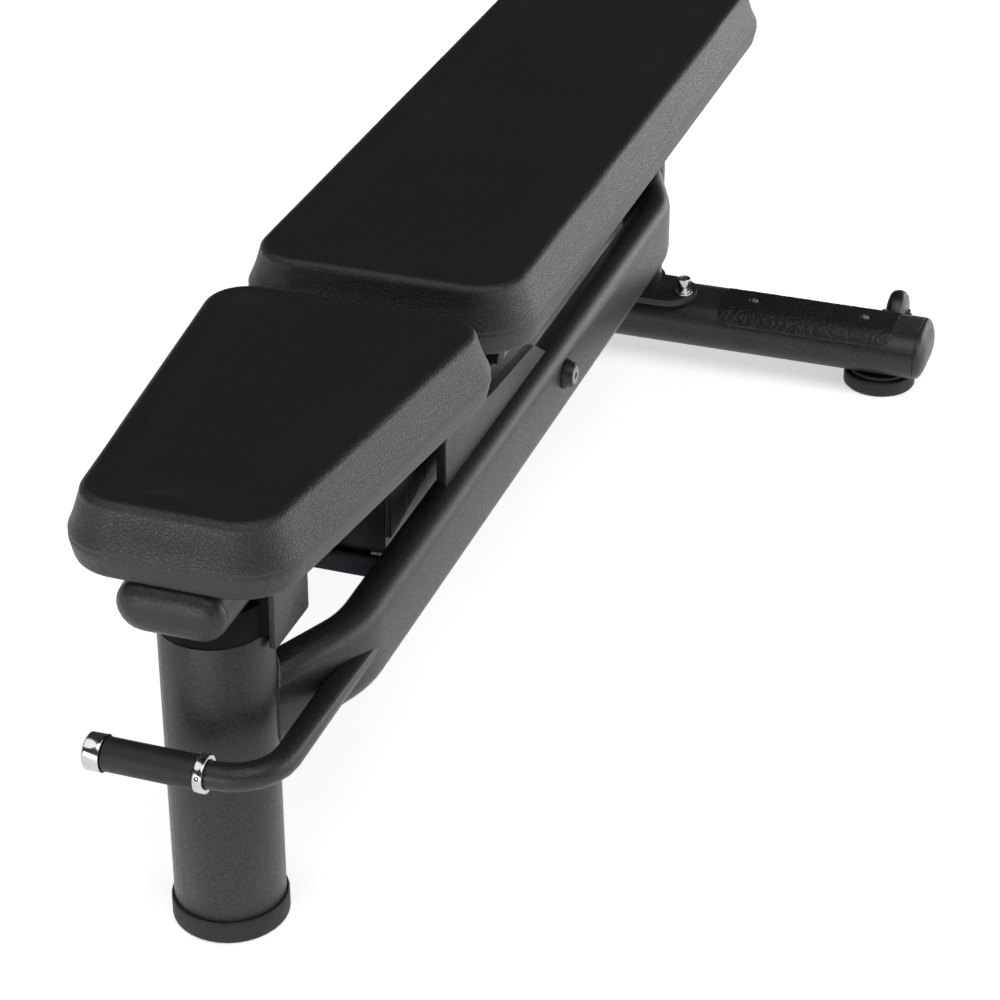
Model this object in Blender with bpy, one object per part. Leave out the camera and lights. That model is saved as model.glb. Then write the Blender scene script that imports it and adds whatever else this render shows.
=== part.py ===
"""Adjustable weight bench.

A frame of two round posts, twin flat-oval beams and a cross base carries a tapered seat, which slides in a
guide on the front post, and a backrest, which is hinged between two plates and held up by a swinging prop
on a notched rack.

Metres, +Z up. The seat end points to -Y, and +X is the side of the handle's leg. The world origin is on the
floor under the middle of the bench; the sizes and places below are measured from the front post's axis.
"""

import math

import bmesh
import bpy
from mathutils import Matrix, Vector

GAP = 0.0003  # between pieces that touch
RUNNING_GAP = 0.0003  # radial, around a pin that turns

# Posts and feet
FRONT_POST_Y = -0.60625  # from the world origin
REAR_POST = 1.203
POST_RADIUS = 0.0508
POST_WALL = 0.003
FRONT_POST_TOP = 0.312
REAR_POST_TOP = 0.3375
FRONT_FOOT_RADIUS = 0.0535
FRONT_FOOT_HEIGHT = 0.024
FOOT_FLOOR = 0.004
REST_RADIUS = 0.045

# Twin beams: upright flat-oval tube
TUBE_WALL = 0.003
BEAM_WIDTH = 0.040
BEAM_HEIGHT = 0.085
BEAM_X = 0.076
BEAM_BOTTOM = 0.1765
BEAM_TOP = BEAM_BOTTOM + BEAM_HEIGHT
BEAM_BEND_RADIUS = 0.126
BEAM_BEND_ANGLE = math.radians(23.4)
BEAM_STRAIGHT_START = 0.149
BEAM_STRAIGHT_END = REAR_POST - BEAM_STRAIGHT_START
BEAM_OUTER_X = BEAM_X + BEAM_WIDTH / 2

# Cross base: flat-oval tube
BASE_WIDTH = 0.096
BASE_HEIGHT = 0.060
BASE_BOTTOM = 0.0235
BASE_TOP = BASE_BOTTOM + BASE_HEIGHT
BASE_HALF_LENGTH = 0.377
BASE_CAP_DEPTH = 0.0125
REAR_FOOT_X = 0.330
REAR_FOOT_RADIUS = 0.043
REAR_FOOT_HEIGHT = 0.019
FOOT_PLATE_RADIUS = 0.0365
FLANGE_LENGTH = 0.202
FLANGE_WIDTH = 0.072
FLANGE_Y = REAR_POST - 0.016
FLANGE_DISC_RADIUS = 0.056
FLANGE_THICKNESS = 0.008
FLANGE_TOP = BASE_TOP + GAP + FLANGE_THICKNESS
FLANGE_SCREW_X = 0.088
FLANGE_SCREW_Y = FLANGE_Y - 0.009
STEP_PAD_START = 0.134
STEP_PAD_END = 0.348
STEP_PAD_THICKNESS = 0.0025
STEP_PAD_FRONT_ANGLE = 152
STEP_PAD_CORNER = 0.032
STEP_SCREW_X = (0.1725, 0.3095)
STEP_SCREW_Y = REAR_POST - 0.004

# Transport wheels
WHEEL_RADIUS = 0.0325
WHEEL_WIDTH = 0.022
WHEEL_ROUNDING = 0.009
WHEEL_Y = REAR_POST + 0.087
WHEEL_Z = 0.048
WHEEL_AXLE_RADIUS = 0.004
FORK_WALL = 0.003

# Handle in front of the post
HANDLE_RADIUS = 0.0127
HANDLE_X = 0.083
HANDLE_Y = -0.093
HANDLE_Z = 0.218
HANDLE_BEND_RADIUS = 0.047
HANDLE_LEG_END = 0.135
HANDLE_TIP_X = -0.0775
GRIP_RADIUS = 0.0155
GRIP_ENDS = (-0.065, 0.0215)
COLLAR_RADIUS = 0.0172
COLLAR_WIDTH = 0.0085
END_CAP_WIDTH = 0.0167

# Cushions
PAD_BOTTOM = 0.395
PAD_THICKNESS = 0.068
PAD_TOP = PAD_BOTTOM + PAD_THICKNESS
PAD_SEAM_HEIGHT = 0.024
PAD_TUCK = 0.003
PAD_LEAN = 0.0095
PAD_ROUNDING = 0.014
BOARD_THICKNESS = 0.005

# Seat
SEAT_FRONT = -0.0967
SEAT_REAR = 0.3472
SEAT_FRONT_HALF_WIDTH = 0.0988
SEAT_REAR_HALF_WIDTH = 0.1517
SEAT_CORNERS = (0.056, 0.053)
SEAT_TUBE_WIDTH = 0.100
SEAT_TUBE_HEIGHT = 0.050
SEAT_TUBE_ENDS = (-0.080, 0.345)
SEAT_TUBE_TOP = PAD_BOTTOM - 0.0005
SEAT_TUBE_BOTTOM = SEAT_TUBE_TOP - SEAT_TUBE_HEIGHT
SEAT_TUBE_CAP_DEPTH = 0.016
GUIDE_ENDS = (-0.012, 0.0625)
EAR_THICKNESS = 0.006
EAR_INNER_X = 0.0545
EAR_BOTTOM = 0.299
EAR_TOP = PAD_BOTTOM - 0.004
GUIDE_CLEARANCE = 0.0005

# Backrest
BACK_FRONT = 0.377
BACK_REAR = 1.297
BACK_HALF_WIDTH = 0.1477
BACK_CORNER = 0.060
PIVOT_Y = 0.406
PIVOT_Z = 0.370
AXLE_RADIUS = 0.010
BARREL_RADIUS = 0.0235
BACK_TUBE_ENDS = (0.440, 1.250)
BACK_TUBE_WIDTH = 0.080
BACK_TUBE_TOP = PAD_BOTTOM - BOARD_THICKNESS - 2 * GAP
BACK_TUBE_BOTTOM = BACK_TUBE_TOP - 0.040

# Hinge plates, welded along the beams' tops
HINGE_PLATE_X = (0.070, 0.080)
HINGE_PLATE_ENDS = (0.358, 0.660)
HINGE_BOSS_RADIUS = 0.018

# Prop and rack
PROP_PIVOT_Y = PIVOT_Y + 0.270
PROP_PIVOT_Z = PIVOT_Z - 0.040
PROP_LENGTH = 0.400
PROP_PIN_Z = 0.262
PROP_RADIUS = 0.011
PROP_HALF_WIDTH = 0.016
PROP_PIN_RADIUS = 0.006
RACK_X = (0.030, 0.036)
RACK_BOTTOM = 0.196
RACK_TOP = PROP_PIN_Z - PROP_PIN_RADIUS - 0.0015
RACK_REAR = 1.085
RACK_NOTCH_START = 0.646
RACK_NOTCH_PITCH = 0.0606
RACK_NOTCH_COUNT = 8
RACK_NOTCH_DEPTH = 0.012
RAIL_X = (0.045, 0.051)
RAIL_ENDS = (0.2846, 0.450)
CROSS_PLATE_Y = 0.280
CROSS_PLATE_THICKNESS = 0.004
CROSS_PLATE_TOP = 0.2205
BOSS_Y = 0.680
BOSS_Z = 0.229
BOSS_HEIGHT = 0.011

ARC_STEPS = 5
ROUND_SEGMENTS = 36
SMALL_SEGMENTS = 12


# ---------------------------------------------------------------- scene, materials and groups


def clear_scene():
    for old in list(bpy.data.objects):
        bpy.data.objects.remove(old, do_unlink=True)


def material(name, colour, roughness, metallic=0.0):
    made = bpy.data.materials.new(name)
    made.use_nodes = True
    shader = made.node_tree.nodes["Principled BSDF"]
    shader.inputs["Base Color"].default_value = (*colour, 1.0)
    shader.inputs["Roughness"].default_value = roughness
    shader.inputs["Metallic"].default_value = metallic
    return made


def group(name, location, parent=None):
    """An empty that holds the pieces of one body. Its place is given in the front post's frame."""
    empty = bpy.data.objects.new(name, None)
    bpy.context.scene.collection.objects.link(empty)
    empty["origin"] = location
    if parent is None:
        empty.location = (location[0], location[1] + FRONT_POST_Y, location[2])
    else:
        empty.parent = parent
        empty.location = Vector(location) - Vector(parent["origin"])
    return empty


def place(name, mesh, finish, body):
    """Turns a bmesh in the front post's frame into an object of a body."""
    origin = Vector(body["origin"])
    bmesh.ops.translate(mesh, verts=mesh.verts, vec=-origin)
    bmesh.ops.recalc_face_normals(mesh, faces=mesh.faces)
    if mesh.calc_volume(signed=True) < 0:
        bmesh.ops.reverse_faces(mesh, faces=mesh.faces)
    data = bpy.data.meshes.new(name)
    mesh.to_mesh(data)
    mesh.free()
    data.shade_smooth()
    data.set_sharp_from_angle(angle=math.radians(32))
    data.materials.append(finish)
    made = bpy.data.objects.new(name, data)
    bpy.context.scene.collection.objects.link(made)
    made.parent = body
    return made


def cut(target, name, mesh):
    """Takes a shape away from an object."""
    cutter = place(f"{target.name}_{name}_cutter", mesh, target.data.materials[0], target.parent)
    cutter.hide_render = True
    cutter.display_type = "WIRE"
    modifier = target.modifiers.new(name, "BOOLEAN")
    modifier.operation = "DIFFERENCE"
    modifier.object = cutter


def join(target, name, mesh):
    """Welds a shape onto an object."""
    extra = place(f"{target.name}_{name}_addition", mesh, target.data.materials[0], target.parent)
    extra.hide_render = True
    extra.display_type = "WIRE"
    modifier = target.modifiers.new(name, "BOOLEAN")
    modifier.operation = "UNION"
    modifier.object = extra


# ---------------------------------------------------------------- outlines and solids


def arc(centre, radius, start, end, steps=ARC_STEPS):
    """Points on an arc between two angles in degrees, both ends included."""
    angles = [math.radians(start + (end - start) * step / steps) for step in range(steps + 1)]
    return [(centre[0] + radius * math.cos(a), centre[1] + radius * math.sin(a)) for a in angles]


def rounded_rectangle(width, height, radius, centre=(0.0, 0.0), steps=ARC_STEPS):
    half_w, half_h = width / 2 - radius, height / 2 - radius
    corners = [(half_w, half_h, 0), (-half_w, half_h, 90), (-half_w, -half_h, 180), (half_w, -half_h, 270)]
    points = []
    for u, v, angle in corners:
        points += arc((centre[0] + u, centre[1] + v), radius, angle, angle + 90, steps)
    return without_repeats(points)


def without_repeats(points):
    kept = []
    for point in points:
        if not kept or math.dist(point, kept[-1]) > 1e-6:
            kept.append(point)
    if math.dist(kept[0], kept[-1]) < 1e-6:
        kept.pop()
    return kept


def capsule(first, second, radius, steps=ARC_STEPS):
    """Outline of a bar with round ends between two points."""
    angle = math.degrees(math.atan2(second[1] - first[1], second[0] - first[0]))
    ends = arc(second, radius, angle - 90, angle + 90, steps)
    return ends + arc(first, radius, angle + 90, angle + 270, steps)


def rounded_polygon(corners, inset=0.0, steps=ARC_STEPS):
    """Anticlockwise convex polygon of (x, y, corner radius), drawn in by an inset less than each radius."""
    points = []
    for index, (x, y, radius) in enumerate(corners):
        before = Vector((x, y)) - Vector(corners[index - 1][:2])
        after = Vector(corners[(index + 1) % len(corners)][:2]) - Vector((x, y))
        turn = before.angle_signed(after) * -1
        tangent = radius * math.tan(turn / 2)
        start = math.degrees(math.atan2(before.y, before.x)) - 90
        inward = Vector((-before.y, before.x)).normalized()
        centre = Vector((x, y)) - before.normalized() * tangent + inward * radius
        points += arc(centre, radius - inset, start, start + math.degrees(turn), steps)
    return without_repeats(points)


def on_axis(axis, u, v, along):
    """A 2D point at a place along an axis: (y, z) on X, (x, z) on Y and (x, y) on Z."""
    return {"X": (along, u, v), "Y": (u, along, v), "Z": (u, v, along)}[axis]


def add_ring(mesh, points):
    return [mesh.verts.new(point) for point in points]


def bridge(mesh, first, second):
    count = len(first)
    for index in range(count):
        after = (index + 1) % count
        mesh.faces.new((first[index], first[after], second[after], second[index]))


def loft(rings):
    """Closed solid through rings of equal count, with flat ends."""
    mesh = bmesh.new()
    made = [add_ring(mesh, ring) for ring in rings]
    for first, second in zip(made, made[1:]):
        bridge(mesh, first, second)
    mesh.faces.new(made[0])
    mesh.faces.new(made[-1])
    return mesh


def hollow_loft(outer_rings, inner_rings):
    """Open-ended tube between an outer and an inner skin of equal counts."""
    mesh = bmesh.new()
    outer = [add_ring(mesh, ring) for ring in outer_rings]
    inner = [add_ring(mesh, ring) for ring in inner_rings]
    for skin in (outer, inner):
        for first, second in zip(skin, skin[1:]):
            bridge(mesh, first, second)
    bridge(mesh, outer[0], inner[0])
    bridge(mesh, outer[-1], inner[-1])
    return mesh


def prism(outline, low, high, axis):
    return loft([[on_axis(axis, u, v, along) for u, v in outline] for along in (low, high)])


def lathe(profile, axis="Z", centre=(0.0, 0.0), segments=ROUND_SEGMENTS, closed=False):
    """Turned solid from (radius, place along the axis) points. An open profile starts and ends on the axis."""
    mesh = bmesh.new()
    rings = []
    for radius, along in profile:
        if radius < 1e-7:
            rings.append([mesh.verts.new(on_axis(axis, *centre, along))])
            continue
        circle = [
            (centre[0] + radius * math.cos(a), centre[1] + radius * math.sin(a))
            for a in (math.tau * step / segments for step in range(segments))
        ]
        rings.append(add_ring(mesh, [on_axis(axis, u, v, along) for u, v in circle]))
    pairs = list(zip(rings, rings[1:]))
    if closed:
        pairs.append((rings[-1], rings[0]))
    for first, second in pairs:
        if len(first) == len(second):
            bridge(mesh, first, second)
            continue
        tip, ring = (first, second) if len(first) == 1 else (second, first)
        for index in range(segments):
            mesh.faces.new((tip[0], ring[index], ring[(index + 1) % segments]))
    return mesh


def round_bar(radius, low, high, axis, centre, segments=SMALL_SEGMENTS, chamfer=0.0):
    profile = [(0, low), (radius - chamfer, low), (radius, low + chamfer)]
    profile += [(radius, high - chamfer), (radius - chamfer, high), (0, high)]
    return lathe(without_repeats(profile), axis, centre, segments)


def round_tube(outer, inner, low, high, axis, centre, segments=ROUND_SEGMENTS):
    profile = [(outer, low), (outer, high), (inner, high), (inner, low)]
    return lathe(profile, axis, centre, segments, closed=True)


def hexagon(centre, across_flats):
    return arc(centre, across_flats / math.sqrt(3), 0, 300, 5)


def oval_tube(width, height, centre, low, high, axis):
    """Straight flat-oval tube with open ends."""
    radius = min(width, height) / 2
    outer = rounded_rectangle(width, height, radius, centre)
    wall = 2 * TUBE_WALL
    inner = rounded_rectangle(width - wall, height - wall, radius - TUBE_WALL, centre)
    skins = [[[on_axis(axis, u, v, along) for u, v in skin] for along in (low, high)] for skin in (outer, inner)]
    return hollow_loft(*skins)


def oval_cap(width, height, centre, start, depth, axis):
    """Bull-nosed end cap of a flat-oval tube. A negative depth points down the axis."""
    radius = min(width, height) / 2
    rings = []
    for step in range(5):
        angle = math.radians(18.5 * step)
        inset = radius * (1 - math.cos(angle))
        outline = rounded_rectangle(width - 2 * inset, height - 2 * inset, radius - inset, centre)
        rings.append([on_axis(axis, u, v, start + depth * math.sin(angle)) for u, v in outline])
    return loft(rings)


def swept(outline, stations):
    """Rings of an outline at stations (centre, sideways direction); the outline's v stays upright."""
    rings = []
    for centre, side in stations:
        rings.append([Vector(centre) + side * u + Vector((0, 0, v)) for u, v in outline])
    return rings


# ---------------------------------------------------------------- posts and feet


def make_posts(paint, rubber, body):
    inner = POST_RADIUS - POST_WALL
    place(
        "front_post",
        round_tube(POST_RADIUS, inner, FOOT_FLOOR + GAP, FRONT_POST_TOP, "Z", (0, 0)),
        paint,
        body,
    )
    place(
        "rear_post",
        round_tube(POST_RADIUS, inner, FLANGE_TOP + GAP, REAR_POST_TOP, "Z", (0, REAR_POST)),
        paint,
        body,
    )
    hole = POST_RADIUS + GAP
    cup = [(0, 0), (FRONT_FOOT_RADIUS - 0.003, 0), (FRONT_FOOT_RADIUS, 0.003)]
    cup += [(FRONT_FOOT_RADIUS, FRONT_FOOT_HEIGHT - 0.0015), (FRONT_FOOT_RADIUS - 0.0015, FRONT_FOOT_HEIGHT)]
    cup += [(hole, FRONT_FOOT_HEIGHT), (hole, FOOT_FLOOR), (0, FOOT_FLOOR)]
    place("front_foot", lathe(cup), rubber, body)
    low, high = REAR_POST_TOP + GAP, BACK_TUBE_BOTTOM - GAP
    rest = [(0, low), (REST_RADIUS, low), (REST_RADIUS, high - 0.004), (REST_RADIUS - 0.004, high), (0, high)]
    place("backrest_rest", lathe(rest, centre=(0, REAR_POST)), rubber, body)


def make_seat_guide(paint, slider, body):
    """Two ears on the post's sides, and a cradle under the seat tube."""
    front, rear = GUIDE_ENDS
    middle = ((front + rear) / 2, (EAR_BOTTOM + EAR_TOP) / 2)
    outline = rounded_rectangle(rear - front, EAR_TOP - EAR_BOTTOM, 0.003, middle, 2)
    for side, name in ((1, "right"), (-1, "left")):
        inner, outer = side * EAR_INNER_X, side * (EAR_INNER_X + EAR_THICKNESS)
        place(f"seat_guide_ear_{name}", prism(outline, inner, outer, "X"), paint, body)
    low = FRONT_POST_TOP + GAP
    centre_z = (SEAT_TUBE_BOTTOM + SEAT_TUBE_TOP) / 2
    bearing = SEAT_TUBE_HEIGHT / 2 + GUIDE_CLEARANCE
    flat = (SEAT_TUBE_WIDTH - SEAT_TUBE_HEIGHT) / 2
    half_width = EAR_INNER_X - GAP
    lip = 35
    lip_z = centre_z - bearing * math.sin(math.radians(lip))
    cradle = [(-half_width, low), (half_width, low), (half_width, lip_z)]
    cradle += arc((flat, centre_z), bearing, -lip, -90)
    cradle += arc((-flat, centre_z), bearing, -90, lip - 180)
    cradle += [(-half_width, lip_z)]
    block = place("seat_guide_cradle", prism(without_repeats(cradle), front, rear, "Y"), slider, body)
    plug_top = SEAT_TUBE_BOTTOM - GUIDE_CLEARANCE
    join(block, "post_plug", round_bar(POST_RADIUS - 0.0006, low, plug_top, "Z", (0, 0), ROUND_SEGMENTS))


# ---------------------------------------------------------------- beams and hinge plates


def beam_stations():
    """Centre line of the right beam in plan, from inside the front post to inside the rear post."""
    bend_centre_x = BEAM_X - BEAM_BEND_RADIUS
    ends = []
    for straight_y, direction in ((BEAM_STRAIGHT_START, -1), (BEAM_STRAIGHT_END, 1)):
        stations = []
        for step in range(ARC_STEPS + 1):
            angle = BEAM_BEND_ANGLE * step / ARC_STEPS
            x = bend_centre_x + BEAM_BEND_RADIUS * math.cos(angle)
            y = straight_y + direction * BEAM_BEND_RADIUS * math.sin(angle)
            stations.append(((x, y), Vector((math.cos(angle), direction * math.sin(angle), 0))))
        (x, y), side = stations[-1]
        reach = 0.090
        tail = (x - reach * math.sin(BEAM_BEND_ANGLE), y + direction * reach * math.cos(BEAM_BEND_ANGLE))
        stations.append((tail, side))
        ends.append(stations)
    ordered = list(reversed(ends[0])) + ends[1]
    middle_z = (BEAM_BOTTOM + BEAM_TOP) / 2
    return [((x, y, middle_z), side) for (x, y), side in ordered]


def mirrored(rings, side):
    return [[Vector((side * point[0], point[1], point[2])) for point in ring] for ring in rings]


def beam_rings(grow=0.0):
    outline = rounded_rectangle(BEAM_WIDTH + 2 * grow, BEAM_HEIGHT + 2 * grow, BEAM_WIDTH / 2 + grow)
    return swept(outline, beam_stations())


def make_beams(paint, body):
    for side, name in ((1, "right"), (-1, "left")):
        skins = [mirrored(beam_rings(grow), side) for grow in (0.0, -TUBE_WALL)]
        beam = place(f"{name}_beam", hollow_loft(*skins), paint, body)
        for post_y, end in ((0.0, "front"), (REAR_POST, "rear")):
            room = POST_RADIUS + GAP
            cut(beam, f"{end}_saddle", round_bar(room, 0.15, 0.32, "Z", (0, post_y), ROUND_SEGMENTS))


def make_hinge_plates(paint, body):
    """Wedges on the beams, with a boss for the backrest's axle at the front."""
    front, rear = HINGE_PLATE_ENDS
    bottom = BEAM_TOP - 0.010
    pivot = (PIVOT_Y, PIVOT_Z)
    outline = [(front, bottom), (rear, bottom), (rear, BEAM_TOP + 0.001), (rear - 0.036, 0.287)]
    outline += [(0.488, 0.297), (0.440, 0.310)] + arc(pivot, HINGE_BOSS_RADIUS, -35, 215, 9)
    outline += [(front, 0.310)]
    for side, name in ((1, "right"), (-1, "left")):
        inner, outer = (side * x for x in HINGE_PLATE_X)
        plate = place(f"hinge_plate_{name}", prism(outline, inner, outer, "X"), paint, body)
        cut(plate, "beam_seat", loft(mirrored(beam_rings(GAP), side)))
        hole = round_bar(AXLE_RADIUS + RUNNING_GAP, *sorted((side * 0.060, side * 0.090)), "X", pivot)
        cut(plate, "axle_hole", hole)


def make_backrest_axle(steel, body):
    head = 0.0145
    end = HINGE_PLATE_X[1] + GAP
    tip = end + 0.006
    profile = [(0, -tip), (head - 0.001, -tip), (head, -tip + 0.001), (head, -end), (AXLE_RADIUS, -end)]
    profile += [(radius, -along) for radius, along in reversed(profile)]
    place("backrest_axle", lathe(profile, "X", (PIVOT_Y, PIVOT_Z), SMALL_SEGMENTS), steel, body)


# ---------------------------------------------------------------- rack, rails and bosses


def rack_outline():
    """Side view of a rack plate: a sloping nose behind the cross plate, then notches that face up."""
    nose_y = CROSS_PLATE_Y + CROSS_PLATE_THICKNESS + GAP
    points = [(nose_y, RACK_BOTTOM), (RACK_REAR, RACK_BOTTOM), (RACK_REAR, RACK_TOP)]
    bottom = RACK_TOP - RACK_NOTCH_DEPTH
    radius = PROP_PIN_RADIUS + 0.001
    for index in reversed(range(RACK_NOTCH_COUNT)):
        y = RACK_NOTCH_START + index * RACK_NOTCH_PITCH
        points += [(y + 2.2 * radius, RACK_TOP)]
        points += arc((y, bottom + radius), radius, 0, -180, 4)
    return points + [(0.620, RACK_TOP), (0.340, RACK_TOP), (nose_y, CROSS_PLATE_TOP)]


def beam_inner_x(y):
    """Distance from the middle plane to a beam's inner wall, where the beam is straight or in its rear bend."""
    past = max(0.0, y - BEAM_STRAIGHT_END)
    inner_radius = BEAM_BEND_RADIUS - BEAM_WIDTH / 2
    return BEAM_X - BEAM_BEND_RADIUS + math.sqrt(inner_radius**2 - past**2)


def rail_lower_edge(y):
    slope = 0.1615
    return 0.2410 + (y - RAIL_ENDS[0]) * slope


def make_rack(zinc, paint, dark_steel, body):
    for side, name in ((1, "right"), (-1, "left")):
        inner, outer = (side * x for x in RACK_X)
        place(f"rack_plate_{name}", prism(rack_outline(), inner, outer, "X"), zinc, body)
    tray_width = 2 * (RACK_X[0] - GAP)
    tray = rounded_rectangle(tray_width, 0.003, 0.0005, (0, RACK_BOTTOM + 0.0015), 1)
    place("rack_tray", prism(tray, RAIL_ENDS[0] + 0.004, RACK_REAR, "Y"), dark_steel, body)
    rail_front, rail_rear = RAIL_ENDS
    support = SEAT_TUBE_BOTTOM - GAP
    rail = [(rail_front, rail_lower_edge(rail_front)), (rail_rear, rail_lower_edge(rail_rear))]
    rail += [(rail_rear, 0.275), (0.396, support), (rail_front, support)]
    channel = place("seat_rail", prism(rail, -RAIL_X[1], RAIL_X[1], "X"), paint, body)
    inside = rounded_rectangle(2 * RAIL_X[0], 0.160, 0.004, (0, support - 0.004 - 0.080), 2)
    cut(channel, "inside", prism(inside, rail_front - 0.01, rail_rear + 0.01, "Y"))
    low, high = CROSS_PLATE_TOP + 0.0024, support - 0.004 - GAP
    web = rounded_rectangle(2 * (RAIL_X[0] - GAP), high - low, 0.0035, (0, (low + high) / 2), 2)
    place("rail_front_plate", prism(web, rail_front, rail_front + 0.003, "Y"), dark_steel, body)
    front = CROSS_PLATE_Y, CROSS_PLATE_Y + CROSS_PLATE_THICKNESS
    rear = RACK_REAR + GAP, RACK_REAR + GAP + 0.006
    for name, (low, high), top in (("front", front, CROSS_PLATE_TOP), ("rear", rear, 0.250)):
        half_width = beam_inner_x(high) - GAP
        outline = rounded_rectangle(2 * half_width, top - RACK_BOTTOM, 0.001, (0, (top + RACK_BOTTOM) / 2), 1)
        place(f"{name}_cross_plate", prism(outline, low, high, "Y"), dark_steel, body)


def make_bosses(paint, zinc, body):
    """A cone on each beam's outer wall, with a socket screw through it into the beam."""
    base = BEAM_OUTER_X + GAP
    tip = base + BOSS_HEIGHT
    centre = (BOSS_Y, BOSS_Z)
    bore = 0.0105
    for side, name in ((1, "right"), (-1, "left")):
        cone = [(0.0165, base), (0.0125, tip - 0.001), (0.0118, tip), (bore, tip), (bore, base)]
        cone = [(radius, side * along) for radius, along in cone]
        place(f"beam_boss_{name}", lathe(cone, "X", centre, 24, closed=True), paint, body)
        ends = sorted((side * base, side * (tip + 0.0006)))
        screw = place(f"boss_screw_{name}", round_bar(bore - GAP, *ends, "X", centre, 24, 0.0006), zinc, body)
        socket = sorted((side * (tip - 0.005), side * (tip + 0.004)))
        cut(screw, "socket", prism(hexagon(centre, 0.007), *socket, "X"))


# ---------------------------------------------------------------- cross base


def make_cross_base(paint, rubber, steel, body):
    centre = (REAR_POST, (BASE_BOTTOM + BASE_TOP) / 2)
    half = BASE_HALF_LENGTH
    tube = oval_tube(BASE_WIDTH, BASE_HEIGHT, centre, -half, half, "X")
    place("base_tube", tube, paint, body)
    for side, name in ((1, "right"), (-1, "left")):
        start = side * (half + GAP)
        cap = oval_cap(BASE_WIDTH, BASE_HEIGHT, centre, start, side * BASE_CAP_DEPTH, "X")
        place(f"base_cap_{name}", cap, paint, body)
        make_rear_foot(side, name, paint, rubber, body)
        make_step_pad(side, name, centre, rubber, steel, body)


def make_rear_foot(side, name, paint, rubber, body):
    centre = (side * REAR_FOOT_X, REAR_POST)
    radius, height = REAR_FOOT_RADIUS, REAR_FOOT_HEIGHT
    foot = [(0, 0), (radius - 0.003, 0), (radius, 0.003), (radius, height - 0.002), (radius - 0.002, height)]
    foot += [(radius - 0.0045, height), (radius - 0.0045, height - 0.003), (0, height - 0.003)]
    place(f"rear_foot_{name}", lathe(foot, centre=centre), rubber, body)
    low, high = height - 0.003 + GAP, BASE_BOTTOM - GAP
    neck = round_bar(FOOT_PLATE_RADIUS, low, high, "Z", centre, ROUND_SEGMENTS, 0.0008)
    place(f"rear_foot_plate_{name}", neck, paint, body)


def step_pad_section(centre, offset):
    """Half section in (y, z): the flat top, and round the front of the tube down to an angle."""
    radius = BASE_HEIGHT / 2 + offset
    front_y = centre[0] - (BASE_WIDTH - BASE_HEIGHT) / 2
    rear_y = centre[0] + 0.022
    return [(rear_y, centre[1] + radius)] + arc((front_y, centre[1]), radius, 90, STEP_PAD_FRONT_ANGLE, 7)


def make_step_pad(side, name, centre, rubber, steel, body):
    """Grip sheet wrapped over the base tube, with rounded front corners."""
    outer = step_pad_section(centre, GAP + STEP_PAD_THICKNESS)
    inner = step_pad_section(centre, GAP)
    ends = sorted((side * STEP_PAD_START, side * STEP_PAD_END))
    pad = place(f"step_pad_{name}", prism(outer + inner[::-1], *ends, "X"), rubber, body)
    top = centre[1] + BASE_HEIGHT / 2 - 0.002
    low = outer[-1][1] - 0.001
    for x, towards in ((STEP_PAD_START, 1), (STEP_PAD_END, -1)):
        waste = [(side * (x - towards * 0.005), low - 0.01), (side * (x - towards * 0.005), top)]
        for step in range(9):
            angle = math.pi / 2 * step / 8
            along = x + towards * STEP_PAD_CORNER * (1 - math.cos(angle))
            waste.append((side * along, top - (top - low) * math.sin(angle)))
        waste.append((side * (x + towards * STEP_PAD_CORNER), low - 0.01))
        cut(pad, f"corner_{towards + 1}", prism(waste, centre[0] - BASE_WIDTH, centre[0] - 0.015, "Y"))
    top = BASE_TOP + GAP + STEP_PAD_THICKNESS
    for index, x in enumerate(STEP_SCREW_X, start=1):
        hole = round_bar(0.0045, BASE_TOP, top + 0.002, "Z", (side * x, STEP_SCREW_Y))
        cut(pad, f"screw_hole_{index}", hole)
        low, rim = BASE_TOP + GAP, 0.0042
        screw = [(0, low), (rim, low), (rim, top), (0.0018, top), (0.0018, top - 0.0012), (0, top - 0.0012)]
        lathed = lathe(screw, centre=(side * x, STEP_SCREW_Y), segments=SMALL_SEGMENTS)
        place(f"step_screw_{name}_{index}", lathed, steel, body)


def make_flange(paint, chrome, body):
    """Bar with round ends, joined to the disc that the post stands on."""
    half = (FLANGE_LENGTH - FLANGE_WIDTH) / 2
    outline = capsule((-half, FLANGE_Y), (half, FLANGE_Y), FLANGE_WIDTH / 2, 12)
    plate = place("flange_plate", prism(outline, BASE_TOP + GAP, FLANGE_TOP, "Z"), paint, body)
    disc = round_bar(FLANGE_DISC_RADIUS, BASE_TOP + GAP, FLANGE_TOP, "Z", (0, REAR_POST), ROUND_SEGMENTS)
    join(plate, "disc", disc)
    low = FLANGE_TOP + GAP
    washer_top, head_top = low + 0.003, low + 0.021
    for side, name in ((1, "right"), (-1, "left")):
        centre = (side * FLANGE_SCREW_X, FLANGE_SCREW_Y)
        profile = [(0, low), (0.0105, low), (0.0105, washer_top), (0.0070, washer_top)]
        profile += [(0.0070, washer_top + 0.007), (0.0082, washer_top + 0.007)]
        profile += [(0.0082, head_top - 0.001), (0.0072, head_top), (0, head_top)]
        screw = place(f"flange_screw_{name}", lathe(profile, centre=centre, segments=16), chrome, body)
        cut(screw, "socket", prism(hexagon(centre, 0.008), head_top - 0.005, head_top + 0.01, "Z"))


# ---------------------------------------------------------------- transport wheels


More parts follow.
